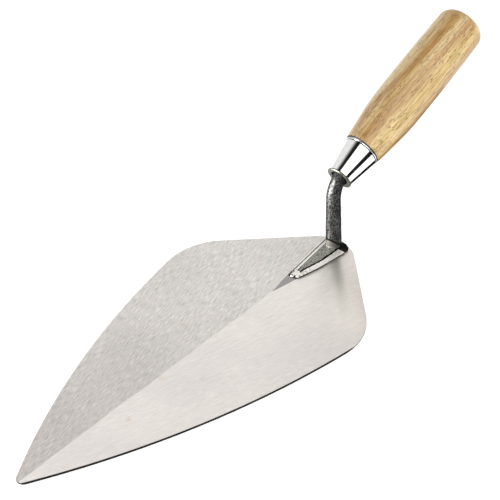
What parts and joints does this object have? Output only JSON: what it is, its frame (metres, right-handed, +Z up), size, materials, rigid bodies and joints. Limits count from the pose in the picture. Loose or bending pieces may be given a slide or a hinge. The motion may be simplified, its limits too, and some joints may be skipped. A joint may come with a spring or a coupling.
{
  "type": "brick trowel",
  "caption": "Bricklayer's trowel: broad pointed steel blade, upright cranked shank, tapered ferrule and turned wooden handle.",
  "frame": {"origin": "on the blade's flat underside, straight below the axis of the shank's upright rod", "axes": "+X from the blade's point towards the handle, +Y across the blade to the left, +Z up, away from the surface the blade lies on"},
  "size_m": [0.4055, 0.14, 0.1124],
  "materials": {
    "ground_steel": "ground, fine slanting strokes",
    "forged_steel": "dark forging scale, semi-matt",
    "weld_steel": "freshly ground bead",
    "ring_steel": "dull plated",
    "chrome_plate": "mirror",
    "lacquered_beech": "clear lacquer, gloss"
  },
  "bodies": {
    "root": {"blade": "ground_steel", "shank": "forged_steel", "weld": "weld_steel", "collar": "ring_steel", "ferrule": "chrome_plate", "handle": "lacquered_beech"}
  },
  "joints": []
}
